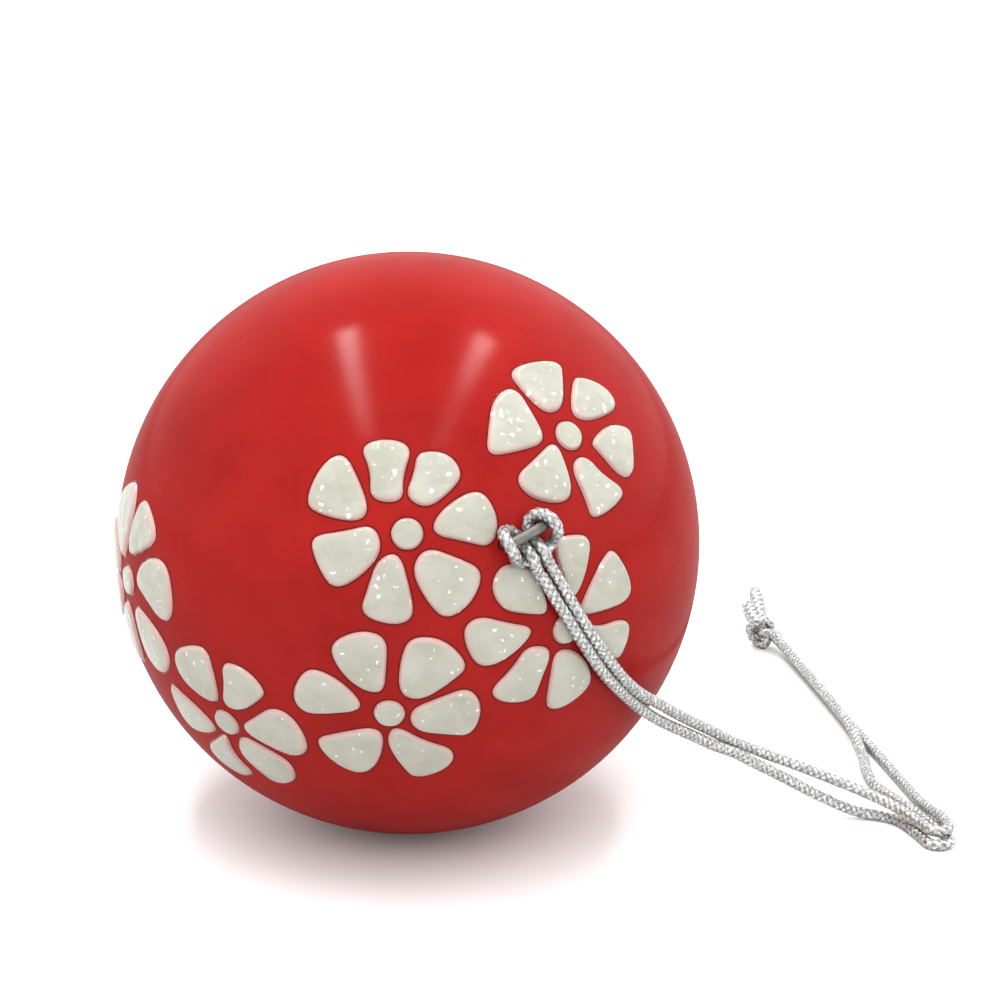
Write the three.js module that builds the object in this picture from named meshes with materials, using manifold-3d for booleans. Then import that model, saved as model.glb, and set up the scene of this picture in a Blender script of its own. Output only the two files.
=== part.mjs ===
// Lacquered ball ornament with raised enamel flowers, lying on a table with its hanging loop beside it.
// Millimetres, +Z up. The origin is the middle of the small flat spot that the ball lies on.
import * as THREE from "three";
import { mergeVertices } from "three/addons/utils/BufferGeometryUtils.js";
import Module from "manifold-3d";

// Ball
const ballRadius = 35;
const flatSpotRadius = 4.5;
const ballBands = 15;
const ballSegments = 36;

// Enamel flowers: a round dot with a ring of petals
const enamelHeight = 0.42;
const enamelRoot = 0.3;
const enamelEdgeWidth = 0.35;
const enamelEdgeHeight = 0.62;
const petalInnerReach = 2.9;
const petalInnerWidth = 0.5; // share of the outer width
const petalShoulder = 1.03; // outer corners, as a share of their distance
const petalBulge = 1.05; // outer edge, as a share of the petal's reach
const cornerAllowance = 1.2; // makes up for the rounding of the corners
const edgeShare = 0.6; // how much of the sloping edge lies inside the outline
const dotRadius = 1.75;
const dotSides = 6;
const petalCornerSides = 2;

// Wire eye: a staple pushed into the ball
const eyeAzimuth = 22;
const eyeElevation = 19;
const eyeSpin = 20;
const wireRadius = 0.6;
const eyeBarHeight = 2.2;
const eyeHalfSpan = 2.5;
const eyeBend = 0.8;
const eyeLegDepth = 5;
const eyeHoleClearance = 0.3;
const eyeHoleSides = 10;
const eyeBendStops = [30, 60, 90];

// Cord
const cordRadius = 0.62;
const cordSides = 8;
const sectionsPerHitchPoint = 2;
const knotCordRadius = 0.6;
const knotSize = 1.5;
const knotSteps = 28;

// Points closer than this are one point.
const weldDistance = 1e-4;

// Each flower faces out at an azimuth (0 is towards -Y, positive towards +X) and an elevation.
// Each petal is its direction round the dot (0 points right, 90 up), outer width, reach, and the
// sideways sweep in degrees from its outer end to its inner end.
const flowers = [
  {
    azimuth: 0,
    elevation: 21,
    petals: [
      [147, 6.2, 11.6, 7],
      [103, 4.9, 10.8, 14],
      [60, 4.6, 9.4, 12],
      [10, 6.2, 9.6, 8],
      [-49, 5.6, 10.2, -8],
      [-103, 5.2, 9.8, -16],
      [-159, 5.4, 10.5, -12],
    ],
  },
  {
    azimuth: 39,
    elevation: 35,
    petals: [
      [150, 7.2, 9.8, 12],
      [88, 6.8, 9.8, 0],
      [31, 5.8, 9.6, 6],
      [-21, 6.4, 9.8, 6],
      [-71, 5.4, 9.9, -14],
      [-138, 6.4, 9.2, -10],
    ],
  },
  {
    azimuth: 30,
    elevation: 0,
    petals: [
      [136, 3.8, 10.8, 5],
      [80, 4.6, 10.8, -5],
      [30, 5.8, 10.2, 5],
      [-21, 5, 9.8, 12],
      [-79, 5.8, 9.6, -16],
      [-130, 4.8, 10.4, -10],
      [-179, 5.8, 11.3, -6],
    ],
  },
  {
    azimuth: -4,
    elevation: -14,
    petals: [
      [112, 6.4, 10.3, -2],
      [56, 6.6, 10.6, -3],
      [-3, 6, 10, -5],
      [-60, 5.2, 10.5, -14],
      [-127, 6.6, 10.4, 5],
      [168, 5.8, 10.6, -2],
    ],
  },
  {
    azimuth: -40,
    elevation: -22,
    petals: [
      [113, 5.8, 10.2, -10],
      [57, 5.8, 9.2, 3],
      [3, 6.2, 10, 8],
      [-49, 5.2, 10.2, -14],
      [-114, 5.8, 9.8, -10],
      [-168, 6, 9.6, 14],
    ],
  },
  {
    azimuth: -70,
    elevation: 0,
    petals: [
      [112, 5, 11.2, 0],
      [60, 5.4, 10.6, 7],
      [10, 6.4, 11.1, 6],
      [-43, 5, 11.6, 2],
      [-97, 5, 10, -6],
      [-148, 5.4, 10.2, 0],
      [164, 5.4, 10.2, 0],
    ],
  },
];

// Even five-petalled flowers on the side away from the garland: azimuth, elevation, first petal's direction.
const plainFlowers = [
  [115, 4, 90],
  [165, 28, 90],
  [200, -14, 60],
  [243, 12, 80],
];
const plainPetalCount = 5;
const plainPetal = { width: 6.4, reach: 10, sweep: 4 };

// The hitch of the loop on the eye, from strand to strand, as places on the eye:
// along the bar, towards the strands, above the ball.
const hitchPlaces = [
  [0.9, 4.3, 1.08],
  [0.62, 3.5, 1.65],
  [0.52, 2.75, 2.18],
  [0.5, 1.75, 1.8],
  [0.5, 0.85, 1],
  [0.55, -0.1, 0.78],
  [0.9, -1.05, 0.95],
  [1.6, -1.45, 1.6],
  [2.25, -1.15, 2.6],
  [2.6, -0.15, 3.45],
  [2.7, 1, 3.15],
  [2.6, 1.75, 2.05],
  [2.25, 2.25, 1.15],
  [1.4, 2.65, 0.93],
  [0, 2.8, 0.92],
  [-1.4, 2.65, 0.93],
  [-2.2, 2.3, 1.15],
  [-2.75, 1.8, 2.05],
  [-3.1, 1, 3.1],
  [-3.25, -0.1, 3.45],
  [-3, -1.1, 2.6],
  [-2.4, -1.5, 1.6],
  [-1.5, -1.1, 0.95],
  [-0.95, -0.1, 0.78],
  [-0.9, 0.85, 1],
  [-0.95, 1.75, 1.8],
  [-0.95, 2.75, 2.18],
  [-0.88, 3.5, 1.65],
  [-0.7, 4.3, 1.08],
];

// The two strands of the loop: over the ball, down through the air to the table, round and back to the knot.
const strandUpperRoute = [
  [15.52, -31.85, 42.66],
  [16.73, -31.55, 40.41],
  [17.83, -31.25, 38.31],
  [18.94, -30.77, 36.2],
  [20.46, -29.79, 33.4],
  [22.11, -28.28, 30.39],
  [24.11, -25.82, 26.98],
  [26.4, -22.65, 23.8],
  [29, -19.4, 21.1],
  [32.3, -15.7, 17.8],
  [34.8, -13.2, 15.6],
  [39, -9.7, 12.1],
  [41.3, -8.2, 10.6],
  [43.5, -7, 9.2],
  [45.8, -6.2, 8],
  [48, -5.7, 6.9],
  [52.2, -5.5, 5],
  [55, -5.9, 3.9],
  [57.6, -6.8, 2.95],
  [59.4, -8.2, 2.4],
  [60.6, -9.9, 2.1],
  [61.4, -11.1, 1.98],
  [61.95, -12.3, 1.94],
  [62.4, -13.35, 1.92],
  [63.4, -13.75, 1.9],
  [64.45, -13.35, 1.9],
  [64.85, -12.3, 1.9],
  [64.75, -10.6, 1.87],
  [64.2, -8.2, 1.75],
  [63.6, -5.6, 1.35],
  [63.1, -2.6, 0.88],
  [62.4, 1.4, 0.64],
  [61.3, 7.2, 0.63],
  [59.2, 18, 0.63],
  [58, 24.2, 0.63],
  [56.9, 30.6, 0.63],
  [55.7, 37, 0.63],
  [54.6, 43, 0.65],
  [53.5, 47.6, 0.9],
  [52.6, 50.4, 1.3],
];
const strandLowerRoute = [
  [14.2, -32.56, 42.16],
  [14.98, -32.32, 40.91],
  [16.11, -32.11, 38.81],
  [17.34, -31.67, 36.65],
  [18.7, -30.94, 34.1],
  [20.21, -29.79, 31.34],
  [21.75, -28.22, 28.54],
  [23.45, -26.05, 25.83],
  [25.04, -23.54, 23.48],
  [26.7, -21.3, 21.3],
  [29.2, -18.4, 18.6],
  [33.7, -14.2, 14.8],
  [35.9, -12.6, 13.1],
  [38.9, -10.8, 11.2],
  [41.1, -9.5, 9.5],
  [45.7, -7.4, 6.2],
  [50.1, -6.2, 3.3],
  [54.4, -5.7, 1.15],
  [58.1, -6.5, 0.63],
  [59.6, -7.8, 0.63],
  [60.5, -9.6, 0.63],
  [61.25, -11.6, 0.63],
  [61.85, -13.55, 0.63],
  [62.3, -14.6, 0.63],
  [63.35, -15.05, 0.63],
  [64.4, -14.6, 0.63],
  [64.85, -13.55, 0.63],
  [64.5, -11.6, 0.63],
  [63, -7.6, 0.63],
  [61, -3, 0.63],
  [58.8, 1.8, 0.63],
  [58.1, 4.8, 0.63],
  [58, 8.2, 0.63],
  [58.25, 11.8, 0.63],
  [58.2, 15.2, 0.8],
  [57.8, 19.5, 1.55],
  [57.15, 24.2, 1.62],
  [54.9, 37, 1.62],
  [53.75, 43, 1.64],
  [52.75, 47.4, 1.95],
  [51.8, 50, 2.5],
];

// Knot at the end of the loop, with two cut tails
const knotPlace = [50, 52.4, 2.8];
const knotTilt = [-58, 20, 0];
const knotTails = [
  [knotPlace, [50, 55, 3.9], [49.8, 57.2, 5.1], [49.6, 59.4, 6.5]],
  [knotPlace, [49.4, 54.6, 3.4], [48.8, 56, 4.1], [48.2, 57.4, 5]],
];

const wasm = await Module();
wasm.setup();

const toRadians = THREE.MathUtils.degToRad;
const ballCentreHeight = Math.sqrt(ballRadius ** 2 - flatSpotRadius ** 2);
const ballCentre = new THREE.Vector3(0, 0, ballCentreHeight);

function material(color, roughness, metalness) {
  return new THREE.MeshStandardMaterial({ color, roughness, metalness });
}

const lacquer = material(0xb3211d, 0.32, 0);
const enamel = material(0xd8cfbd, 0.18, 0);
const dullWire = material(0x8f8a80, 0.45, 1);
const silverCord = material(0xb9b9b6, 0.4, 0.8);

// Turn that sends +Z straight out of the ball, with +X level and +Y upwards before the spin.
function facing(azimuth, elevation, spin = 0) {
  const turn = new THREE.Quaternion().setFromAxisAngle(new THREE.Vector3(0, 0, 1), toRadians(azimuth));
  const tip = new THREE.Quaternion().setFromAxisAngle(new THREE.Vector3(1, 0, 0), toRadians(90 - elevation));
  const roll = new THREE.Quaternion().setFromAxisAngle(new THREE.Vector3(0, 0, 1), toRadians(spin));
  return turn.multiply(tip).multiply(roll);
}

function closedSurface(geometry) {
  geometry.deleteAttribute("normal");
  geometry.deleteAttribute("uv");
  return mergeVertices(geometry, weldDistance);
}

function toSolid(geometry) {
  const closed = closedSurface(geometry);
  const vertProperties = new Float32Array(closed.getAttribute("position").array);
  const triVerts = new Uint32Array(closed.index.array);
  return new wasm.Manifold(new wasm.Mesh({ numProp: 3, vertProperties, triVerts }));
}

// Geometry of a joined solid, with one group for the faces of each original in the order of the list.
function toGeometry(solid, originals) {
  const { vertProperties, triVerts, runIndex, runOriginalID } = solid.getMesh();
  const geometry = new THREE.BufferGeometry();
  geometry.setAttribute("position", new THREE.BufferAttribute(vertProperties, 3));
  geometry.setIndex(new THREE.BufferAttribute(triVerts, 1));
  for (let run = 0; run < runOriginalID.length; run++) {
    const known = originals.indexOf(runOriginalID[run]);
    const slot = known < 0 ? originals.length : known;
    geometry.addGroup(runIndex[run], runIndex[run + 1] - runIndex[run], slot);
  }
  geometry.computeVertexNormals();
  return geometry;
}

// Lays a flat piece on the ball: its x and y become distances along the surface, its z a height above it.
function wrapOnBall(geometry, aim) {
  const position = geometry.getAttribute("position");
  const place = new THREE.Vector3();
  for (let index = 0; index < position.count; index++) {
    place.fromBufferAttribute(position, index);
    const reach = Math.hypot(place.x, place.y);
    const angle = reach / ballRadius;
    const share = reach > 0 ? Math.sin(angle) / reach : 1 / ballRadius;
    const height = ballRadius + place.z;
    place.set(place.x * share, place.y * share, Math.cos(angle));
    place.multiplyScalar(height).applyQuaternion(aim).add(ballCentre);
    position.setXYZ(index, place.x, place.y, place.z);
  }
  return geometry;
}

// Closed outline that rounds off every corner of a polygon.
function roundedOutline(corners) {
  const shape = new THREE.Shape();
  const middle = (index) => {
    const next = corners[(index + 1) % corners.length];
    return corners[index].clone().lerp(next, 0.5);
  };
  const start = middle(corners.length - 1);
  shape.moveTo(start.x, start.y);
  corners.forEach((corner, index) => {
    const end = middle(index);
    shape.quadraticCurveTo(corner.x, corner.y, end.x, end.y);
  });
  return shape;
}

function polar(reach, degrees) {
  return new THREE.Vector2(reach * Math.cos(toRadians(degrees)), reach * Math.sin(toRadians(degrees)));
}

function petalOutline(direction, width, reach, sweep) {
  const half = (width * cornerAllowance) / 2;
  const across = polar(1, direction + 90);
  const outer = polar(Math.sqrt(reach ** 2 - (width / 2) ** 2) * petalShoulder, direction);
  const inner = polar(petalInnerReach, direction + sweep);
  const innerAcross = polar(half * petalInnerWidth, direction + sweep + 90);
  return roundedOutline([
    inner.clone().sub(innerAcross),
    outer.clone().addScaledVector(across, -half),
    polar(reach * petalBulge, direction),
    outer.clone().addScaledVector(across, half),
    inner.clone().add(innerAcross),
  ]);
}

function enamelPad(outline, curveSegments, aim) {
  const pad = new THREE.ExtrudeGeometry(outline, {
    depth: enamelRoot,
    bevelThickness: enamelEdgeHeight,
    bevelSize: enamelEdgeWidth,
    bevelOffset: -enamelEdgeWidth * edgeShare,
    bevelSegments: 1,
    curveSegments,
  });
  pad.translate(0, 0, enamelHeight - enamelEdgeHeight - enamelRoot);
  return toSolid(wrapOnBall(pad, aim));
}

function flowerPads(azimuth, elevation, petals) {
  const aim = facing(azimuth, elevation);
  const dot = new THREE.Shape().absarc(0, 0, dotRadius, 0, 2 * Math.PI);
  const pads = [enamelPad(dot, dotSides / 2, aim)];
  for (const petal of petals) {
    pads.push(enamelPad(petalOutline(...petal), petalCornerSides, aim));
  }
  return pads;
}

function plainPetals(firstDirection) {
  const { width, reach, sweep } = plainPetal;
  const petals = [];
  for (let index = 0; index < plainPetalCount; index++) {
    petals.push([firstDirection + (360 / plainPetalCount) * index, width, reach, sweep]);
  }
  return petals;
}

function ballSolid() {
  const profile = [new THREE.Vector2(0, -ballCentreHeight)];
  const start = -Math.acos(flatSpotRadius / ballRadius);
  for (let band = 0; band <= ballBands; band++) {
    const angle = THREE.MathUtils.lerp(start, Math.PI / 2, band / ballBands);
    const radius = band < ballBands ? ballRadius * Math.cos(angle) : 0;
    profile.push(new THREE.Vector2(radius, ballRadius * Math.sin(angle)));
  }
  const body = new THREE.LatheGeometry(profile, ballSegments);
  body.rotateX(Math.PI / 2);
  body.translate(0, 0, ballCentreHeight);
  return toSolid(body);
}

// Smooth curve through a route, with its sections spread evenly between the route's own points.
class RouteCurve extends THREE.CatmullRomCurve3 {
  getUtoTmapping(share) {
    return share;
  }
}

// A round bar along a route, closed at both ends.
function barAlong(route, radius, sectionsPerPoint = 1) {
  const section = new THREE.Shape().absarc(0, 0, radius, 0, 2 * Math.PI);
  const bar = new THREE.ExtrudeGeometry(section, {
    steps: (route.length - 1) * sectionsPerPoint,
    extrudePath: new RouteCurve(route.map((point) => new THREE.Vector3(...point))),
    curveSegments: cordSides / 2,
    bevelEnabled: false,
  });
  return closedSurface(bar);
}

function addMesh(parent, name, geometry, materials) {
  const mesh = new THREE.Mesh(geometry, materials);
  mesh.name = name;
  parent.add(mesh);
  return mesh;
}

const ornament = new THREE.Group();

// The eye's own frame: origin on the ball, +X along the bar, -Y towards the strands, +Z out of the ball.
const eyeFrame = new THREE.Group();
eyeFrame.quaternion.copy(facing(eyeAzimuth, eyeElevation, eyeSpin));
eyeFrame.position.set(0, 0, ballRadius).applyQuaternion(eyeFrame.quaternion).add(ballCentre);
eyeFrame.updateMatrixWorld(true);
ornament.add(eyeFrame);

// Ball with its flowers and the two holes for the eye's legs
const plainBall = ballSolid();
const enamelPads = [];
for (const { azimuth, elevation, petals } of flowers) {
  enamelPads.push(...flowerPads(azimuth, elevation, petals));
}
for (const [azimuth, elevation, firstDirection] of plainFlowers) {
  enamelPads.push(...flowerPads(azimuth, elevation, plainPetals(firstDirection)));
}
let ball = plainBall;
for (const pad of enamelPads) {
  ball = ball.add(pad);
}
for (const side of [-1, 1]) {
  const depth = eyeLegDepth + eyeHoleClearance;
  const hole = new THREE.CylinderGeometry(
    wireRadius + eyeHoleClearance,
    wireRadius + eyeHoleClearance,
    2 * depth,
    eyeHoleSides,
  );
  hole.rotateX(Math.PI / 2);
  hole.translate(side * eyeHalfSpan, 0, 0);
  hole.applyMatrix4(eyeFrame.matrixWorld);
  ball = ball.subtract(toSolid(hole));
}
addMesh(ornament, "ball", toGeometry(ball, [plainBall.originalID()]), [lacquer, enamel]);

// Wire eye
const corner = eyeHalfSpan - eyeBend;
const shoulder = eyeBarHeight - eyeBend;
const leftSide = [-eyeLegDepth, 0, shoulder].map((height) => [-eyeHalfSpan, 0, height]);
for (const degrees of eyeBendStops) {
  const angle = toRadians(degrees);
  leftSide.push([-corner - eyeBend * Math.cos(angle), 0, shoulder + eyeBend * Math.sin(angle)]);
}
const rightSide = leftSide.map(([along, across, above]) => [-along, across, above]).reverse();
addMesh(eyeFrame, "hanging_eye", barAlong([...leftSide, ...rightSide], wireRadius), dullWire);

// Hitch of the loop on the eye
const hitchRoute = hitchPlaces.map(([along, towards, above]) => [along, -towards, above]);
addMesh(eyeFrame, "cord_hitch", barAlong(hitchRoute, cordRadius, sectionsPerHitchPoint), silverCord);

// Strands of the loop
for (const [name, route] of [
  ["cord_strand_upper", strandUpperRoute],
  ["cord_strand_lower", strandLowerRoute],
]) {
  addMesh(ornament, name, barAlong(route, cordRadius), silverCord);
}

// Knot with its tails
const turns = new THREE.TorusKnotGeometry(knotSize, knotCordRadius, knotSteps, cordSides, 2, 3);
turns.applyQuaternion(new THREE.Quaternion().setFromEuler(new THREE.Euler(...knotTilt.map(toRadians))));
turns.translate(...knotPlace);
let knot = toSolid(turns);
for (const tail of knotTails) {
  knot = knot.add(toSolid(barAlong(tail, knotCordRadius)));
}
addMesh(ornament, "cord_knot", toGeometry(knot, []), silverCord);

export default ornament;
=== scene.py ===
import math
import bpy
from mathutils import Matrix, Quaternion, Vector, noise


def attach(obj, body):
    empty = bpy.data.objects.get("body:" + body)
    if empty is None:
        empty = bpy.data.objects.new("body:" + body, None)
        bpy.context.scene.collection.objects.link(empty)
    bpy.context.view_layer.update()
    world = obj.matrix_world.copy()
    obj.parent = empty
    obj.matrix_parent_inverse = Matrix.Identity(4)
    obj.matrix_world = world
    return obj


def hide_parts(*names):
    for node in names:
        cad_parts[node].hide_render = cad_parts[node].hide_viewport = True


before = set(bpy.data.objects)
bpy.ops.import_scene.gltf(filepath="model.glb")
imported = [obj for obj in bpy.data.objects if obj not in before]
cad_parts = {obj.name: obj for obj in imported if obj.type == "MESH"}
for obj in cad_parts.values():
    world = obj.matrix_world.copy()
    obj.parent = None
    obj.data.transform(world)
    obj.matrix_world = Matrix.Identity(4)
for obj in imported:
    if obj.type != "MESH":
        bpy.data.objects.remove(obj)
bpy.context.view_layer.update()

mm = 0.001
scene = bpy.context.scene


def deselectAll():
    if bpy.context.mode != "OBJECT":
        bpy.ops.object.mode_set(mode="OBJECT")
    bpy.ops.object.select_all(action="DESELECT")


def pickOnly(piece):
    deselectAll()
    piece.select_set(True)
    bpy.context.view_layer.objects.active = piece


# ball and eye directions, as in the CAD
ballValues = {
    "radius": 35 * mm,
    "flatSpot": 4.5 * mm,
    "subdivisions": 6,
    "cutThreshold": 0.001 * mm,  # a point this near the flat spot's cut counts as on it
    "holeRadius": 0.68 * mm,
    "holeDepth": 5.2 * mm,
    "holeSides": 28,
    "smoothAngle": 35,
}
ballCentre = Vector((0, 0, math.sqrt(ballValues["radius"] ** 2 - ballValues["flatSpot"] ** 2)))


def facing(azimuth, elevation, spin=0):
    turn = Quaternion((0, 0, 1), math.radians(azimuth))
    tip = Quaternion((1, 0, 0), math.radians(90 - elevation))
    roll = Quaternion((0, 0, 1), math.radians(spin))
    return turn @ tip @ roll


# camera
cameraValues = {
    "elevation": 19,
    "distance": 350 * mm,
    "lens": 104.3,
    "sensor": 36,
    "nearest": 10 * mm,
    "rightOfBall": 11.03 * mm,  # the picture's middle lies right of and above the ball's
    "aboveBall": 4.99 * mm,
}


def makeCamera():
    v = cameraValues
    tilt = math.radians(v["elevation"])
    toward = Vector((0, -math.cos(tilt), math.sin(tilt)))
    up = Vector((0, math.sin(tilt), math.cos(tilt)))
    place = ballCentre + toward * v["distance"]
    aim = ballCentre + Vector((1, 0, 0)) * v["rightOfBall"] + up * v["aboveBall"]
    turn = (aim - place).to_track_quat("-Z", "Y").to_euler()
    bpy.ops.object.camera_add(location=place, rotation=turn)
    camera = bpy.context.object
    camera.name = "photo_camera"
    camera.data.lens = v["lens"]
    camera.data.sensor_width = v["sensor"]
    camera.data.clip_start = v["nearest"]
    scene.camera = camera


deselectAll()
makeCamera()
print("camera set")


# cords
cordValues = {
    "radius": 0.62 * mm,
    "sides": 20,
    "step": 0.14 * mm,
    "splineSteps": 24,  # between two points of a route
    "carriers": 4,  # braid strands each way round
    "cell": 0.9 * mm,  # braid cell along the cord
    "crown": 0.6,  # the smaller, the fuller a braid strand
    "relief": 0.13 * mm,
    "cutIn": 0.3,  # share of the relief below the true radius
}


def splinePoint(p0, p1, p2, p3, t):
    # centripetal spline between p1 and p2
    d0 = max((p1 - p0).length ** 0.5, 1e-6)
    d1 = max((p2 - p1).length ** 0.5, 1e-6)
    d2 = max((p3 - p2).length ** 0.5, 1e-6)
    m1 = ((p1 - p0) / d0 - (p2 - p0) / (d0 + d1) + (p2 - p1) / d1) * d1
    m2 = ((p2 - p1) / d1 - (p3 - p1) / (d1 + d2) + (p3 - p2) / d2) * d1
    a = 2 * p1 - 2 * p2 + m1 + m2
    b = -3 * p1 + 3 * p2 - 2 * m1 - m2
    return ((a * t + b) * t + m1) * t + p1


# a smooth curve through the points, as centres at even steps
def smoothRoute(points, closed=False):
    v = cordValues
    points = [Vector(p) for p in points]
    count = len(points)
    fine = v["splineSteps"]
    dense = []
    for i in range(count if closed else count - 1):
        if closed:
            p0, p1, p2, p3 = (points[(i + k) % count] for k in (-1, 0, 1, 2))
        else:
            p1, p2 = points[i], points[i + 1]
            p0 = points[i - 1] if i > 0 else 2 * p1 - p2
            p3 = points[i + 2] if i + 2 < count else 2 * p2 - p1
        dense += [splinePoint(p0, p1, p2, p3, k / fine) for k in range(fine)]
    dense.append(points[0].copy() if closed else points[-1].copy())
    lengths = [0]
    for a, b in zip(dense, dense[1:]):
        lengths.append(lengths[-1] + (b - a).length)
    rings = max(4, round(lengths[-1] / v["step"]))
    even, k = [], 0
    for i in range(rings if closed else rings + 1):
        goal = lengths[-1] * i / rings
        while k < len(dense) - 2 and lengths[k + 1] < goal:
            k += 1
        share = (goal - lengths[k]) / max(lengths[k + 1] - lengths[k], 1e-9)
        even.append(dense[k].lerp(dense[k + 1], min(max(share, 0), 1)))
    return even


def routeLength(route):
    return sum((b - a).length for a, b in zip(route, route[1:]))


# 0 in a groove of the braid, 1 on a crest
def braidHeight(along, angle):
    v = cordValues
    u = v["carriers"] * angle / (2 * math.pi) + along / v["cell"]
    w = v["carriers"] * angle / (2 * math.pi) - along / v["cell"]
    over = (math.floor(u) + math.floor(w)) % 2 == 0
    across = (u if over else w) % 1
    run = (w if over else u) % 1
    return math.sin(math.pi * across) ** v["crown"] * (0.5 + 0.5 * math.sin(math.pi * run))


# rings along a route: centre, two directions across and the length so far
def ringsAlong(route, closed=False):
    rings, normal, along = [], None, 0
    count = len(route)
    for i, centre in enumerate(route):
        ahead = route[(i + 1) % count] if closed or i + 1 < count else centre
        behind = route[i - 1] if closed or i > 0 else centre
        tangent = (ahead - behind).normalized()
        normal = normal or tangent.orthogonal()
        normal = (normal - tangent * normal.dot(tangent)).normalized()
        along += (centre - route[i - 1]).length if i else 0
        rings.append((centre, normal, tangent.cross(normal), along))
    return rings


# braided tubes on runs of rings, flattened where they lie on the floor
def braidedTube(name, runs, radius, closed=False, widths=None):
    v = cordValues
    sides = v["sides"]
    verts, faces, heights = [], [], []
    for rings in runs:
        base = len(verts)
        count = len(rings)
        for i, (centre, normal, side, along) in enumerate(rings):
            wide = widths(i / (count - 1)) if widths else 1
            for j in range(sides):
                angle = 2 * math.pi * j / sides
                height = braidHeight(along, angle)
                r = radius * wide + v["relief"] * (height - v["cutIn"])
                point = centre + (normal * math.cos(angle) + side * math.sin(angle)) * r
                point.z = max(point.z, 0)
                verts.append(point)
                heights.append(height)
        for i in range(count if closed else count - 1):
            here = base + i * sides
            there = base + ((i + 1) % count) * sides
            for j in range(sides):
                m = (j + 1) % sides
                faces.append((here + j, here + m, there + m, there + j))
        # open ends are closed round a middle point
        for i, flip in () if closed else ((0, True), (count - 1, False)):
            hub = len(verts)
            verts.append(rings[i][0])
            heights.append(0.5)
            here = base + i * sides
            for j in range(sides):
                m, n = here + j, here + (j + 1) % sides
                faces.append((hub, n, m) if flip else (hub, m, n))
    mesh = bpy.data.meshes.new(name)
    mesh.from_pydata([tuple(p) for p in verts], [], faces)
    mesh.attributes.new("braid", "FLOAT", "POINT").data.foreach_set("value", heights)
    piece = bpy.data.objects.new(name, mesh)
    scene.collection.objects.link(piece)
    pickOnly(piece)
    bpy.ops.object.shade_smooth()
    return piece


# the eye's own frame: x along the bar, -y towards the strands, z out of the ball
eyeValues = {
    "azimuth": 22,
    "elevation": 19,
    "spin": 20,
    "wireRadius": 0.6 * mm,
    "sides": 20,
    "barHeight": 2.2 * mm,
    "barSteps": 8,
    "halfSpan": 2.5 * mm,
    "bend": 0.8 * mm,
    "bendSteps": 10,
    "legDepth": 4.9 * mm,
    "collar": 0.4 * mm,  # depth of the last ring of points inside the ball
    "mergeDistance": 0.005 * mm,
    "smoothAngle": 50,
}
eyeTurn = facing(eyeValues["azimuth"], eyeValues["elevation"], eyeValues["spin"])
eyeSeat = ballCentre + eyeTurn @ Vector((0, 0, ballValues["radius"]))
eyeFrame = Matrix.Translation(eyeSeat) @ eyeTurn.to_matrix().to_4x4()

# the hitch in mm: along the bar, towards the strands, above the ball
hitchRoute = [
    (0.9, 4.3, 1.08), (0.62, 3.5, 1.65), (0.52, 2.75, 2.18), (0.5, 1.75, 1.8), (0.5, 0.85, 1),
    (0.55, -0.1, 0.78), (0.9, -1.05, 0.95), (1.6, -1.45, 1.6), (2.25, -1.15, 2.6), (2.6, -0.15, 3.45),
    (2.7, 1, 3.15), (2.6, 1.75, 2.05), (2.25, 2.25, 1.15), (1.4, 2.65, 0.93), (0, 2.8, 0.92),
    (-1.4, 2.65, 0.93), (-2.2, 2.3, 1.15), (-2.75, 1.8, 2.05), (-3.1, 1, 3.1), (-3.25, -0.1, 3.45),
    (-3, -1.1, 2.6), (-2.4, -1.5, 1.6), (-1.5, -1.1, 0.95), (-0.95, -0.1, 0.78), (-0.9, 0.85, 1),
    (-0.95, 1.75, 1.8), (-0.95, 2.75, 2.18), (-0.88, 3.5, 1.65), (-0.7, 4.3, 1.08),
]

# the strands' routes in mm, over the ball, down to the table, round and back to the knot
upperRoute = [
    (15.52, -31.85, 42.66), (16.73, -31.55, 40.41), (17.83, -31.25, 38.31), (18.94, -30.77, 36.2),
    (20.46, -29.79, 33.4), (22.11, -28.28, 30.39), (24.11, -25.82, 26.98), (26.4, -22.65, 23.8),
    (29, -19.4, 21.1), (32.3, -15.7, 17.8), (34.8, -13.2, 15.6), (39, -9.7, 12.1), (41.3, -8.2, 10.6),
    (43.5, -7, 9.2), (45.8, -6.2, 8), (48, -5.7, 6.9), (52.2, -5.5, 5), (55, -5.9, 3.9),
    (57.6, -6.8, 2.95), (59.4, -8.2, 2.4), (60.6, -9.9, 2.1), (61.4, -11.1, 1.98), (61.95, -12.3, 1.94),
    (62.4, -13.35, 1.92), (63.4, -13.75, 1.9), (64.45, -13.35, 1.9), (64.85, -12.3, 1.9),
    (64.75, -10.6, 1.87), (64.2, -8.2, 1.75), (63.6, -5.6, 1.35), (63.1, -2.6, 0.88), (62.4, 1.4, 0.64),
    (61.3, 7.2, 0.63), (59.2, 18, 0.63), (58, 24.2, 0.63), (56.9, 30.6, 0.63), (55.7, 37, 0.63),
    (54.6, 43, 0.65), (53.5, 47.6, 0.9), (52.6, 50.4, 1.3),
]
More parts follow.
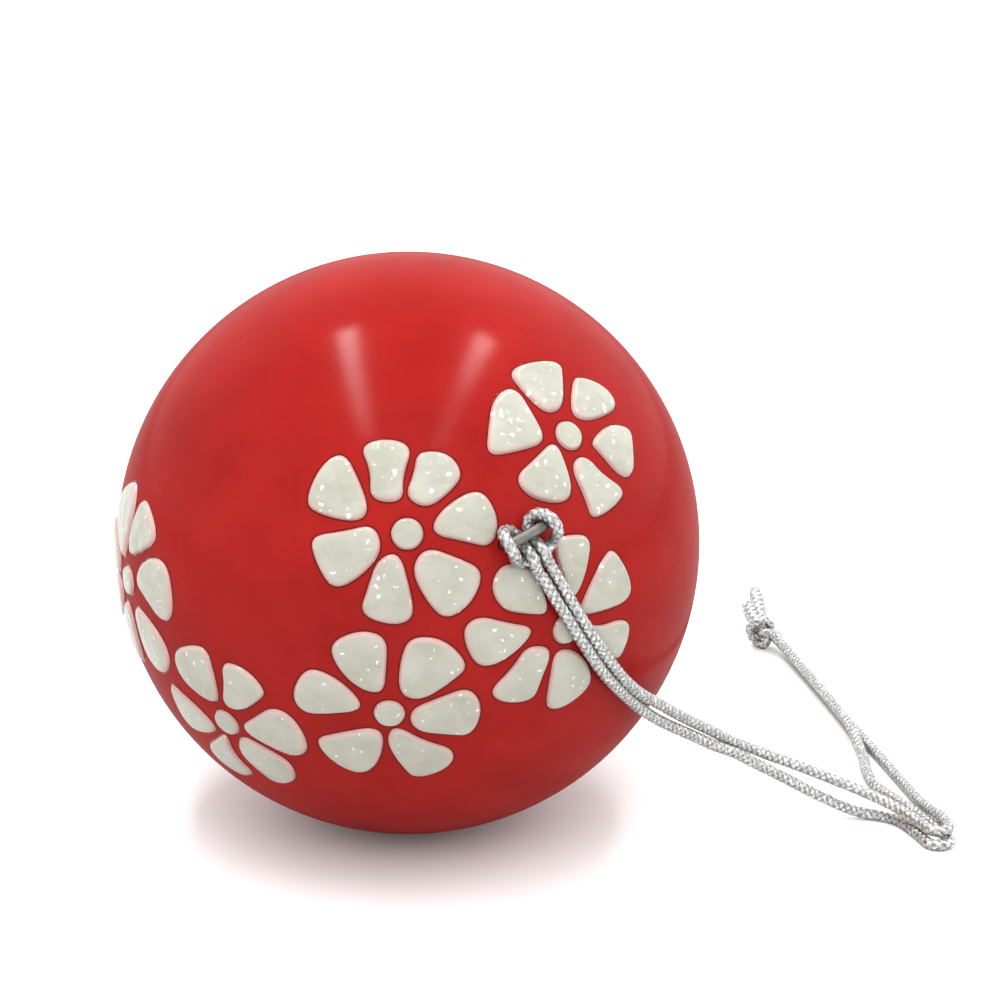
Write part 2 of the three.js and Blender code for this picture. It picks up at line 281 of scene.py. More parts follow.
lowerRoute = [
    (14.2, -32.56, 42.16), (14.98, -32.32, 40.91), (16.11, -32.11, 38.81), (17.34, -31.67, 36.65),
    (18.7, -30.94, 34.1), (20.21, -29.79, 31.34), (21.75, -28.22, 28.54), (23.45, -26.05, 25.83),
    (25.04, -23.54, 23.48), (26.7, -21.3, 21.3), (29.2, -18.4, 18.6), (33.7, -14.2, 14.8),
    (35.9, -12.6, 13.1), (38.9, -10.8, 11.2), (41.1, -9.5, 9.5), (45.7, -7.4, 6.2), (50.1, -6.2, 3.3),
    (54.4, -5.7, 1.15), (58.1, -6.5, 0.63), (59.6, -7.8, 0.63), (60.5, -9.6, 0.63), (61.25, -11.6, 0.63),
    (61.85, -13.55, 0.63), (62.3, -14.6, 0.63), (63.35, -15.05, 0.63), (64.4, -14.6, 0.63),
    (64.85, -13.55, 0.63), (64.5, -11.6, 0.63), (63, -7.6, 0.63), (61, -3, 0.63), (58.8, 1.8, 0.63),
    (58.1, 4.8, 0.63), (58, 8.2, 0.63), (58.25, 11.8, 0.63), (58.2, 15.2, 0.8), (57.8, 19.5, 1.55),
    (57.15, 24.2, 1.62), (54.9, 37, 1.62), (53.75, 43, 1.64), (52.75, 47.4, 1.95), (51.8, 50, 2.5),
]

# the knot: one overhand turn pulled tight, and two tails that swell where they are cut
knotValues = {
    "place": (50, 52.4, 2.58),  # in mm, like the tails
    "tilt": (-58, 20, 0),
    "size": 0.75 * mm,
    "lobes": 1.5,  # for each time round
    "points": 90,
    "cordRadius": 0.6 * mm,
    "swell": 0.75,
    "swellFrom": 0.5,  # shares of the tail's length
    "swellOver": 0.535,
    # each end of the cord comes from its strand, goes through the knot and out as a tail
    "tails": [
        [(52.6, 50.4, 1.3), (52.15, 51.4, 1.55), (51.4, 52.2, 2.05), (50.6, 52.9, 2.7), (50.1, 54, 3.4),
         (49.95, 55.4, 4.15), (49.8, 57.2, 5.1), (49.6, 59.4, 6.5)],
        [(51.8, 50, 2.5), (51.4, 50.9, 2.72), (50.8, 51.8, 2.85), (50, 52.7, 2.95), (49.4, 54.2, 3.35),
         (48.8, 56, 4.1), (48.2, 57.4, 5)],
    ],
}


def inMetres(points):
    return [Vector(p) * mm for p in points]


def tailWidth(share):
    v = knotValues
    swollen = min(1, max(0, share - v["swellFrom"]) / v["swellOver"])
    return 1 + v["swell"] * math.sin(math.pi * swollen)


def makeKnot():
    v = knotValues
    turn = Matrix.Identity(3)
    for degrees, axis in zip(v["tilt"], "XYZ"):
        turn = turn @ Matrix.Rotation(math.radians(degrees), 3, axis)
    loop = []
    for i in range(v["points"]):
        a = 4 * math.pi * i / v["points"]
        lobe = v["lobes"] * a
        reach = (2 + math.cos(lobe)) * v["size"]
        point = Vector((reach * math.cos(a), reach * math.sin(a), v["size"] * math.sin(lobe)))
        loop.append(turn @ point + Vector(v["place"]) * mm)
    rings = ringsAlong(smoothRoute(loop, closed=True), closed=True)
    body = braidedTube("cord_knot_braid", [rings], v["cordRadius"], closed=True)
    tails = [ringsAlong(smoothRoute(inMetres(t))) for t in v["tails"]]
    ends = braidedTube("cord_knot_tails", tails, v["cordRadius"], widths=tailWidth)
    return body, ends


# one cord from the knot over the ball, through the hitch and back, cut where the hitch begins and ends
def makeCord():
    v = cordValues
    hitchPoints = [eyeFrame @ (Vector((along, -towards, above)) * mm) for along, towards, above in hitchRoute]
    route = smoothRoute(inMetres(reversed(upperRoute)) + hitchPoints + inMetres(lowerRoute))
    rings = ringsAlong(route)
    first = min(range(len(route)), key=lambda i: (route[i] - hitchPoints[0]).length)
    last = min(range(len(route)), key=lambda i: (route[i] - hitchPoints[-1]).length)
    upper = braidedTube("cord_upper_braid", [rings[:first + 1]], v["radius"])
    hitch = braidedTube("cord_hitch_braid", [rings[first:last + 1]], v["radius"])
    lower = braidedTube("cord_lower_braid", [rings[last:]], v["radius"])
    return hitch, (upper, route[first::-1]), (lower, route[last:])


hitch, *strands = makeCord()
knot, knotTails = makeKnot()
for strand, centres in strands:
    print(strand.name, "length", round(routeLength(centres), 4))
print("cords made")


def extrudeBy(move):
    bpy.ops.mesh.extrude_region_move(TRANSFORM_OT_translate={"value": move})


# wire eye: a ring of points pushed along the legs, round the bends and across
def makeEye():
    v = eyeValues
    deselectAll()
    bpy.ops.mesh.primitive_circle_add(vertices=v["sides"], radius=v["wireRadius"], fill_type="NGON",
                                      location=(-v["halfSpan"], 0, -v["legDepth"]))
    eye = bpy.context.object
    eye.name = "hanging_eye_wire"
    bpy.ops.object.transform_apply(location=True, rotation=True, scale=True)
    bpy.ops.object.mode_set(mode="EDIT")
    bpy.ops.mesh.select_all(action="SELECT")
    shoulder = v["barHeight"] - v["bend"]
    corner = v["halfSpan"] - v["bend"]
    legSteps = (v["legDepth"] - v["collar"], v["collar"] + shoulder)
    quarter = math.radians(-90)
    for rise in legSteps:
        extrudeBy((0, 0, rise))
    bpy.ops.mesh.spin(steps=v["bendSteps"], angle=quarter, center=(-corner, 0, shoulder), axis=(0, 1, 0))
    for i in range(v["barSteps"]):
        extrudeBy((2 * corner / v["barSteps"], 0, 0))
    bpy.ops.mesh.spin(steps=v["bendSteps"], angle=quarter, center=(corner, 0, shoulder), axis=(0, 1, 0))
    for drop in reversed(legSteps):
        extrudeBy((0, 0, -drop))
    bpy.ops.mesh.select_all(action="SELECT")
    bpy.ops.mesh.remove_doubles(threshold=v["mergeDistance"])
    bpy.ops.mesh.normals_make_consistent(inside=False)
    bpy.ops.object.mode_set(mode="OBJECT")
    eye.data.transform(eyeFrame)
    bpy.ops.object.shade_smooth_by_angle(angle=math.radians(v["smoothAngle"]))
    return eye


eye = makeEye()
print("eye made")


# ball: sphere, flat spot cut level, two holes for the eye
def makeBall():
    v = ballValues
    deselectAll()
    bpy.ops.mesh.primitive_ico_sphere_add(subdivisions=v["subdivisions"], radius=v["radius"],
                                          location=ballCentre)
    ball = bpy.context.object
    ball.name = "lacquer_ball"
    bpy.ops.object.transform_apply(location=True, rotation=True, scale=True)
    bpy.ops.object.mode_set(mode="EDIT")
    bpy.ops.mesh.select_all(action="SELECT")
    bpy.ops.mesh.bisect(plane_co=(0, 0, 0), plane_no=(0, 0, 1), use_fill=True, clear_inner=True,
                        threshold=v["cutThreshold"])
    bpy.ops.object.mode_set(mode="OBJECT")
    for side in (-1, 1):
        place = eyeFrame @ Vector((side * eyeValues["halfSpan"], 0, 0))
        deselectAll()
        bpy.ops.mesh.primitive_cylinder_add(vertices=v["holeSides"], radius=v["holeRadius"],
                                            depth=2 * v["holeDepth"], location=place,
                                            rotation=eyeTurn.to_euler())
        cutter = bpy.context.object
        pickOnly(ball)
        cut = ball.modifiers.new("hole", "BOOLEAN")
        cut.operation = "DIFFERENCE"
        cut.object = cutter
        bpy.ops.object.modifier_apply(modifier=cut.name)
        pickOnly(cutter)
        bpy.ops.object.delete()
    pickOnly(ball)
    bpy.ops.object.shade_smooth_by_angle(angle=math.radians(v["smoothAngle"]))
    return ball


ball = makeBall()
print("ball made")


# enamel flowers, drawn flat in mm and laid on the ball
flowerValues = {
    "innerReach": 2.9,
    "innerWidth": 0.5,
    "shoulder": 1.03,
    "bulge": 1.05,
    "cornerAllowance": 1.16,
    "plainPetals": 5,
    "plainPetal": (6.4, 10, 4),  # width, reach, sweep
    "dotRadius": 1.73,
    "dotSides": 6,
    "dotAllowance": 1.1,
    "lineWidth": 0.3,  # dark line round each pad: painted shade at the pad's foot
    "sides": 50,
    "rings": [1.1, 1, 0.985, 0.96, 0.925, 0.88, 0.82, 0.74, 0.63, 0.5, 0.36, 0.2],
    "rim": 1.01,  # what lies outside this is the line
    "edge": 0.84,  # the rounded edge runs from the rim in to this ring
    "height": 0.4 * mm,
    "crown": 0.1,  # the middle stands higher by this share
    "foot": 0.014 * mm,  # height of the rim above the lacquer
    "lineHeight": 0.002 * mm,
    "waviness": 0.06 * mm,
    "waveSize": 1.7 * mm,
    "waveMargin": 0.25,  # the waves die away over this share at the rim
    "smoothAngle": 60,
}


def polar(reach, degrees):
    return Vector((reach * math.cos(math.radians(degrees)), reach * math.sin(math.radians(degrees))))


# plain petal: direction, width and reach in mm, sweep of its inner end
def plainPetal(direction, width, reach, sweep):
    v = flowerValues
    half = width * v["cornerAllowance"] / 2
    across = polar(half, direction + 90)
    outer = polar(math.sqrt(reach ** 2 - (width / 2) ** 2) * v["shoulder"], direction)
    tip = polar(reach * v["bulge"], direction)
    inner = polar(v["innerReach"], direction + sweep)
    innerAcross = polar(half * v["innerWidth"], direction + sweep + 90)
    return [inner - innerAcross, outer - across, tip, outer + across, inner + innerAcross]


# each flower: azimuth, elevation, its dot's place, and its petals' corners in mm east and north of its middle
flowers = [
    (0, 21, (-0.2, -0.3), [
        [(-5.6, 5.9), (-7.2, 9.0), (-9.7, 7.6), (-11.5, 3.6), (-10.3, 2.2), (-5.8, 1.0), (-4.3, 2.3)],
        [(-0.7, 6.2), (0.5, 9.3), (-2.2, 10.4), (-5.4, 9.6), (-4.0, 6.6), (-4.3, 3.5), (-0.6, 3.1)],
        [(6.0, 6.3), (4.4, 8.7), (1.0, 8.8), (0.7, 6.3), (-0.4, 3.8), (2.0, 2.4), (4.6, 4.4)],
        [(10.0, 1.0), (8.4, 4.3), (6.2, 4.1), (3.1, 1.8), (2.5, -0.4), (6.2, -1.1), (9.0, -1.9)],
        [(8.2, -4.4), (5.4, -3.1), (1.8, -1.7), (0.2, -4.2), (1.8, -7.5), (3.9, -9.9), (6.9, -8.0)],
        [(-0.1, -6.1), (-1.1, -2.2), (-3.5, -3.1), (-4.5, -6.2), (-5.6, -9.1), (-1.8, -10.4), (0.5, -9.5)],
        [(-2.9, -2.2), (-3.8, 0.8), (-7.1, 0.0), (-11.0, -0.4), (-10.3, -3.3), (-8.5, -6.4), (-5.5, -5.0)],
    ]),
    (39, 35, (-0.2, 0), [
        [(-7.3, 6.5), (-9.2, 3.7), (-11.1, 0.4), (-7.1, -0.1), (-3.4, 0.0), (-3.6, 3.3), (-4.0, 7.5)],
        [(-3.6, 9.3), (-3.5, 6.8), (-2.1, 3.1), (0.6, 3.2), (2.7, 6.5), (4.1, 8.9), (0.2, 9.7)],
        [(9.5, 2.2), (9.0, 4.8), (5.4, 6.7), (4.0, 6.0), (1.3, 2.4), (3.1, 1.1), (6.5, 1.4)],
        [(9.1, -2.8), (10.0, -0.6), (6.6, 0.3), (2.4, -1.3), (3.2, -2.7), (5.3, -6.0), (7.6, -6.1)],
        [(5.4, -7.5), (2.3, -5.1), (0.8, -2.4), (-1.6, -3.4), (-0.8, -7.4), (-0.7, -9.9), (3.7, -8.8)],
        [(-2.1, -2.8), (-2.4, 0.0), (-5.7, -1.6), (-8.8, -2.8), (-8.0, -5.3), (-4.8, -7.0), (-2.4, -6.6)],
    ]),
    (30, 0, (-0.2, 0.1), [
        [(-8.0, 3.6), (-5.2, 2.8), (-2.3, 2.2), (-3.2, 5.8), (-4.3, 7.9), (-7.5, 8.8), (-9.2, 6.4)],
        [(-0.6, 7.0), (0.4, 3.3), (1.7, 4.4), (3.1, 7.1), (4.0, 10.0), (0.9, 10.6), (-1.1, 10.3)],
        [(5.1, 1.2), (8.9, 1.4), (9.6, 3.5), (7.2, 8.0), (5.4, 7.2), (2.9, 4.2), (1.1, 1.3)],
        [(4.7, -2.9), (6.5, -5.0), (8.0, -5.6), (9.5, -1.6), (7.5, -0.5), (4.6, -0.7), (2.3, 0.3)],
        [(-2.0, -5.6), (-2.1, -9.6), (0.2, -10.1), (3.9, -7.9), (3.3, -5.2), (0.9, -2.6), (-1.7, -2.2)],
        [(-3.2, -5.3), (-1.9, -1.8), (-5.2, -1.0), (-6.7, -3.5), (-9.4, -6.1), (-7.6, -7.9), (-3.9, -8.1)],
        [(-4.1, 1.0), (-7.7, 2.0), (-10.7, 3.2), (-12.7, 1.7), (-11.3, -2.4), (-9.2, -3.0), (-6.1, -1.3)],
    ]),
    (-4, -14, (0, 0.2), [
        [(-0.3, 6.2), (-0.1, 9.6), (-3.0, 10.4), (-6.5, 8.6), (-5.9, 6.1), (-3.5, 3.4), (-0.6, 2.7)],
        [(9.0, 5.8), (6.2, 9.3), (2.5, 9.7), (1.4, 7.0), (1.1, 2.8), (3.5, 1.8), (7.0, 4.1)],
        [(10.4, 0.2), (8.9, 3.1), (5.7, 2.1), (2.2, 0.7), (2.6, -2.2), (6.3, -3.0), (9.2, -3.7)],
        [(7.0, -5.4), (3.8, -3.9), (0.5, -1.3), (-0.5, -3.8), (1.1, -7.7), (2.6, -10.1), (6.8, -8.3)],
        [(-0.6, -3.2), (-1.9, -1.7), (-5.9, -3.1), (-8.8, -4.5), (-7.0, -7.6), (-3.9, -9.5), (-1.8, -8.0)],
        [(-4.2, 3.1), (-7.1, 5.0), (-9.5, 5.0), (-11.2, 1.2), (-9.8, -0.9), (-6.5, -0.3), (-2.8, 0.6)],
    ]),
    (-40, -22, (0.1, 0.4), [
        [(-3.5, 9.8), (-6.7, 8.0), (-6.2, 5.0), (-3.2, 3.3), (-0.1, 2.9), (0.1, 6.6), (-0.5, 10.3)],
        [(1.7, 9.2), (1.6, 6.4), (0.5, 3.3), (2.8, 2.7), (5.6, 4.6), (7.3, 6.1), (5.1, 8.8)],
        [(2.0, 0.3), (5.7, -1.9), (8.9, -3.3), (10.8, -1.3), (10.2, 2.8), (7.7, 4.3), (4.6, 2.1)],
        [(1.8, -0.9), (0.1, -3.7), (1.6, -6.8), (3.5, -9.3), (6.7, -7.8), (7.4, -4.4), (5.0, -2.5)],
        [(-3.4, -3.7), (-6.2, -5.9), (-5.5, -8.6), (-2.4, -10.0), (0.3, -8.4), (-1.4, -5.6), (-0.7, -1.3)],
        [(-9.3, 2.8), (-9.2, -1.8), (-7.8, -3.8), (-4.8, -3.2), (-2.0, -1.5), (-4.2, 0.9), (-7.3, 2.1)],
    ]),
    (-70, 0, (1.1, 0.2), [
        [(-3.7, 10.7), (-7.4, 7.3), (-5.8, 6.0), (-1.0, 1.9), (0.1, 3.6), (1.2, 8.1), (-0.1, 11.7)],
        [(3.3, 11.0), (2.0, 9.0), (1.2, 5.2), (1.7, 3.3), (5.2, 5.1), (8.1, 6.9), (6.9, 9.1)],
        [(9.4, 5.5), (5.6, 4.1), (3.7, 1.0), (7.0, -0.3), (10.5, -2.3), (12.5, -0.2), (11.6, 4.1)],
        [(2.9, -1.9), (3.4, -5.4), (4.4, -8.4), (7.3, -10.0), (10.3, -7.3), (9.8, -4.6), (6.8, -2.8)],
        plainPetal(-97, 5, 10, 6), plainPetal(-148, 5.4, 10.2, 0), plainPetal(164, 5.4, 10.2, 0),
    ]),
]
# even flowers on the far side: azimuth, elevation, first petal's direction
plainFlowers = [(115, 4, 90), (165, 28, 90), (200, -14, 60), (243, 12, 80)]
for azimuth, elevation, first in plainFlowers:
    count = flowerValues["plainPetals"]
    directions = [first + 360 / count * i for i in range(count)]
    petals = [plainPetal(direction, *flowerValues["plainPetal"]) for direction in directions]
    flowers.append((azimuth, elevation, (0, 0), petals))


def dotCorners(place):
    v = flowerValues
    reach = v["dotRadius"] * v["dotAllowance"]
    return [Vector(place) + polar(reach, 360 / v["dotSides"] * i) for i in range(v["dotSides"])]


# place on the rounded outline of the corners, at a share of the way round
def outlinePoint(corners, share):
    at = share * len(corners)
    i = int(at) % len(corners)
    t = at - int(at)
    corner = corners[i]
    start = (corners[i - 1] + corner) / 2
    end = (corner + corners[(i + 1) % len(corners)]) / 2
    return start * (1 - t) ** 2 + corner * 2 * t * (1 - t) + end * t ** 2


# unit pad: a round face inset ring by ring, closed at its middle
def makePadBlank():
    v = flowerValues
    deselectAll()
    bpy.ops.mesh.primitive_circle_add(vertices=v["sides"], radius=v["rings"][0], fill_type="NGON",
                                      location=(0, 0, 0))
    blank = bpy.context.object
    blank.name = "pad_blank"
    bpy.ops.object.mode_set(mode="EDIT")
    bpy.ops.mesh.select_all(action="SELECT")
    flatShare = math.cos(math.pi / v["sides"])  # a flat side lies nearer the middle than a corner
    for wide, narrow in zip(v["rings"], v["rings"][1:]):
        bpy.ops.mesh.inset(thickness=(wide - narrow) * flatShare, depth=0)
    bpy.ops.mesh.poke()
    # underside, hidden in the ball
    bpy.ops.mesh.select_all(action="DESELECT")
    bpy.ops.mesh.select_non_manifold()
    bpy.ops.mesh.edge_face_add()
    bpy.ops.object.mode_set(mode="OBJECT")
    return blank


def padHeight(rho, place):
    v = flowerValues
    if rho > v["rim"]:
        return v["lineHeight"]
    if rho > v["edge"]:
        inward = max(0, 1 - rho) / (1 - v["edge"])
        lift = math.sqrt(max(0, 1 - (1 - inward) ** 2))
    else:
        lift = 1 + v["crown"] * (1 - (rho / v["edge"]) ** 2)
    wave = noise.noise(place / v["waveSize"]) * v["waviness"] * min(1, max(0, 1 - rho) / v["waveMargin"])
    return v["height"] * lift + wave + v["foot"]


def layPad(blank, corners, aim):
    v = flowerValues
    pickOnly(blank)
    bpy.ops.object.duplicate(linked=False)
    pad = bpy.context.object
    middle = sum(corners, Vector((0, 0))) / len(corners)
    radius = ballValues["radius"]
    rim = pad.data.attributes.new("rim", "FLOAT", "POINT")
    for vert in pad.data.vertices:
        rho = vert.co.length
        rim.data[vert.index].value = rho
        share = (math.atan2(vert.co.y, vert.co.x) / (2 * math.pi)) % 1
        spoke = outlinePoint(corners, share) - middle
        if rho > v["rim"]:
            flat = (middle + spoke + spoke.normalized() * v["lineWidth"]) * mm
        else:
            flat = (middle + spoke * rho) * mm
        angle = flat.length / radius
        outward = Vector((flat.x, flat.y, 0)).normalized() * math.sin(angle) + Vector((0, 0, math.cos(angle)))
        outward = aim @ outward
        vert.co = ballCentre + outward * (radius + padHeight(rho, outward * radius))
    return pad


def makeFlower(blank, number, azimuth, elevation, dot, petals):
    aim = facing(azimuth, elevation)
    outlines = [dotCorners(dot)] + petals
    pads = [layPad(blank, [Vector(c) for c in corners], aim) for corners in outlines]
    deselectAll()
    for pad in pads:
        pad.select_set(True)
    bpy.context.view_layer.objects.active = pads[0]
    bpy.ops.object.join()
    flower = bpy.context.object
    flower.name = "enamel_flower_%d" % number
    bpy.ops.object.mode_set(mode="EDIT")
    bpy.ops.mesh.select_all(action="SELECT")
    bpy.ops.mesh.normals_make_consistent(inside=False)
    bpy.ops.object.mode_set(mode="OBJECT")
    bpy.ops.object.shade_smooth_by_angle(angle=math.radians(flowerValues["smoothAngle"]))
    return flower


padBlank = makePadBlank()
enamelFlowers = [makeFlower(padBlank, i + 1, *f) for i, f in enumerate(flowers)]
pickOnly(padBlank)
bpy.ops.object.delete()
print("flowers made", len(enamelFlowers))


# materials
def newMaterial(name):
    made = bpy.data.materials.new(name)
    made.use_nodes = True
    nodes = made.node_tree.nodes
    return made, nodes, made.node_tree.links, nodes["Principled BSDF"]


def addNode(nodes, kind, **values):
    node = nodes.new(kind)
    for key, value in values.items():
        if key in node.inputs:
            node.inputs[key].default_value = value
        else:
            setattr(node, key, value)
    return node


def addNoise(nodes, links, place, **values):
    node = addNode(nodes, "ShaderNodeTexNoise", **values)
    links.new(place.outputs["Object"], node.inputs["Vector"])
    return node


# maps a value from one span to another
def addSpan(nodes, links, value, spanFrom, spanTo, kind="LINEAR"):
    node = addNode(nodes, "ShaderNodeMapRange", interpolation_type=kind)
    for i, limit in enumerate((*spanFrom, *spanTo), 1):
        node.inputs[i].default_value = limit
    links.new(value, node.inputs["Value"])
    return node


# ramp between two colours at two places
def addTint(nodes, links, value, span, low, high):
    node = addNode(nodes, "ShaderNodeValToRGB")
    for element, position, colour in zip(node.color_ramp.elements, span, (low, high)):
        element.position = position
        element.color = (*colour, 1)
    links.new(value, node.inputs["Fac"])
    return node.outputs["Color"]


# lays a colour over another where the share is 1
def addOver(nodes, links, share, under, colour):
    node = addNode(nodes, "ShaderNodeMix", data_type="RGBA")
    node.inputs[7].default_value = (*colour, 1)
    links.new(share, node.inputs["Factor"])
    links.new(under, node.inputs[6])
    return node.outputs[2]


def addBump(nodes, links, height, strength, distance):
    node = addNode(nodes, "ShaderNodeBump", Strength=strength, Distance=distance)
    links.new(height, node.inputs["Height"])
    return node


def setShader(shader, values):
    for name, value in values.items():
        shader.inputs[name].default_value = value


lacquerValues = {
    "cloudScale": 85,  # noise scales are in waves to the metre
    "cloudSpan": (0.3, 0.75),
    "dark": (0.241, 0.006, 0.0047),
    "light": (0.32, 0.01, 0.0078),
    "brushScale": 420,
    "brushStrength": 0.06,
    "brushDepth": 0.4 * mm,
    "shader": {"Roughness": 0.34, "Specular IOR Level": 0, "Coat Weight": 0.21, "Coat Roughness": 0.16},
}


def lacquerMaterial():
    v = lacquerValues
    made, nodes, links, shader = newMaterial("red_lacquer")
    place = addNode(nodes, "ShaderNodeTexCoord")
    cloud = addNoise(nodes, links, place, Scale=v["cloudScale"], Detail=5, Roughness=0.6)
    tint = addTint(nodes, links, cloud.outputs["Fac"], v["cloudSpan"], v["dark"], v["light"])
    links.new(tint, shader.inputs["Base Color"])
    brushed = addNoise(nodes, links, place, Scale=v["brushScale"], Detail=4, Roughness=0.6)
    bump = addBump(nodes, links, brushed.outputs["Fac"], v["brushStrength"], v["brushDepth"])
    links.new(bump.outputs["Normal"], shader.inputs["Normal"])
    setShader(shader, v["shader"])
    return made


enamelValues = {
    "cloudScale": 260,
    "cloudSpan": (0.3, 0.7),
    "dark": (0.343, 0.335, 0.272),
    "light": (0.416, 0.41, 0.352),
    "pinkRim": (0.83, 0.97),  # over these rings the rim turns pale pink
    "pinkShare": 0.75,
    "pinkColour": (0.55, 0.32, 0.295),
    "blisterScale": 1010,
    "warpScale": 1600,
    "warp": 0.9 * mm,
    "blisterPick": (0.2, 1),  # a cell that draws less than the first has none
    "blisterReach": 0.34,
    "blisterGlintHeights": (10 * mm, 50 * mm),  # blisters and their painted glints are smaller low on the ball, where less of the light from above catches them
    "blisterGlintGrowth": (0.45, 1),
    # painted highlight: near-white colour of the glints on the blisters
    "enamelGlintColour": (0.95, 0.95, 0.92),
    "blisterDepth": 0.1 * mm,
    "lineFrom": 1.02,
    # painted shade: colour of the dark line at the pads' feet
    "footShadeColour": (0.14, 0.004, 0.003),
    "waveScale": 700,
    "waveDepth": 0.2 * mm,
    "coat": 0.7,
    "shader": {"Roughness": 0.25, "Specular IOR Level": 0.15, "Coat Roughness": 0.04},
}


# small blisters of different sizes, 1 in the middle of each; they are painted bright, a painted highlight
# standing for glints of the lamps
def enamelBlistersAndGlints(nodes, links, place):
    v = enamelValues
    warp = addNoise(nodes, links, place, Scale=v["warpScale"], Detail=1)
    bent = addNode(nodes, "ShaderNodeVectorMath", operation="MULTIPLY_ADD")
    bent.inputs[1].default_value = (v["warp"], v["warp"], v["warp"])
    links.new(warp.outputs["Color"], bent.inputs[0])
    links.new(place.outputs["Object"], bent.inputs[2])
    cells = addNode(nodes, "ShaderNodeTexVoronoi", Scale=v["blisterScale"], feature="F1",
                    distance="CHEBYCHEV")
    links.new(bent.outputs["Vector"], cells.inputs["Vector"])
    sizes = addNode(nodes, "ShaderNodeSeparateColor")
    links.new(cells.outputs["Color"], sizes.inputs["Color"])
    reach = addSpan(nodes, links, sizes.outputs["Red"], v["blisterPick"], (0, v["blisterReach"]))
    parts = addNode(nodes, "ShaderNodeSeparateXYZ")
    links.new(place.outputs["Object"], parts.inputs["Vector"])
    upper = addSpan(nodes, links, parts.outputs["Z"], v["blisterGlintHeights"], v["blisterGlintGrowth"])
    wide = addNode(nodes, "ShaderNodeMath", operation="MULTIPLY")
    links.new(reach.outputs["Result"], wide.inputs[0])
    links.new(upper.outputs["Result"], wide.inputs[1])
    blistersAndGlints = addSpan(nodes, links, cells.outputs["Distance"], (0, 1), (1, 0), "SMOOTHSTEP")
    links.new(wide.outputs["Value"], blistersAndGlints.inputs["From Max"])
    return blistersAndGlints.outputs["Result"]


def enamelMaterial():
    v = enamelValues
    made, nodes, links, shader = newMaterial("cream_enamel")
    place = addNode(nodes, "ShaderNodeTexCoord")
    rim = addNode(nodes, "ShaderNodeAttribute", attribute_name="rim")
    cloud = addNoise(nodes, links, place, Scale=v["cloudScale"], Detail=3)
    tint = addTint(nodes, links, cloud.outputs["Fac"], v["cloudSpan"], v["dark"], v["light"])
    pinkEdge = addSpan(nodes, links, rim.outputs["Fac"], v["pinkRim"], (0, v["pinkShare"]), "SMOOTHSTEP")
    tint = addOver(nodes, links, pinkEdge.outputs["Result"], tint, v["pinkColour"])
    blistersAndGlints = enamelBlistersAndGlints(nodes, links, place)
    # painted highlight: glints painted on the blisters, larger high on the ball
    tint = addOver(nodes, links, blistersAndGlints, tint, v["enamelGlintColour"])
    # painted shade: a dark band painted at the foot of each pad
    line = addNode(nodes, "ShaderNodeMath", operation="GREATER_THAN")
    line.inputs[1].default_value = v["lineFrom"]
    links.new(rim.outputs["Fac"], line.inputs[0])
    tint = addOver(nodes, links, line.outputs["Value"], tint, v["footShadeColour"])
    links.new(tint, shader.inputs["Base Color"])
    # gentle waves; the blisters stand up from them in the gloss alone
    waves = addNoise(nodes, links, place, Scale=v["waveScale"], Detail=1)
    wavy = addBump(nodes, links, waves.outputs["Fac"], 1, v["waveDepth"])
    bump = addBump(nodes, links, blistersAndGlints, 1, v["blisterDepth"])
    links.new(wavy.outputs["Normal"], bump.inputs["Normal"])
    links.new(bump.outputs["Normal"], shader.inputs["Coat Normal"])
    links.new(wavy.outputs["Normal"], shader.inputs["Normal"])
    # no gloss on the line round the pads
    gloss = addSpan(nodes, links, line.outputs["Value"], (0, 1), (v["coat"], 0))
    links.new(gloss.outputs["Result"], shader.inputs["Coat Weight"])
    setShader(shader, v["shader"])
    return made


wireValues = {
    "spotScale": 1500,
    "dark": (0.09, 0.09, 0.08),
    "light": (0.3, 0.3, 0.27),
    "shader": {"Metallic": 1, "Roughness": 0.42},
}


def wireMaterial():
    v = wireValues
    made, nodes, links, shader = newMaterial("dull_wire")
    place = addNode(nodes, "ShaderNodeTexCoord")
    spots = addNoise(nodes, links, place, Scale=v["spotScale"], Detail=4)
    tint = addTint(nodes, links, spots.outputs["Fac"], (0, 1), v["dark"], v["light"])
    links.new(tint, shader.inputs["Base Color"])
    setShader(shader, v["shader"])
    return made


silverValues = {
    "braidSpan": (0.1, 0.8),  # from groove to crest
    "groove": (0.098, 0.098, 0.095),
    "crest": (0.52, 0.525, 0.52),
    "sparkScale": 2500,
    "sparkPick": (0.52, 0.6),
    "cordGlintColour": (0.95, 0.96, 0.95),
    "grainScale": 5200,
    "grainStrength": 0.6,
    "grainDepth": 0.15 * mm,
    "shader": {"Metallic": 0.85, "Roughness": 0.3},
}


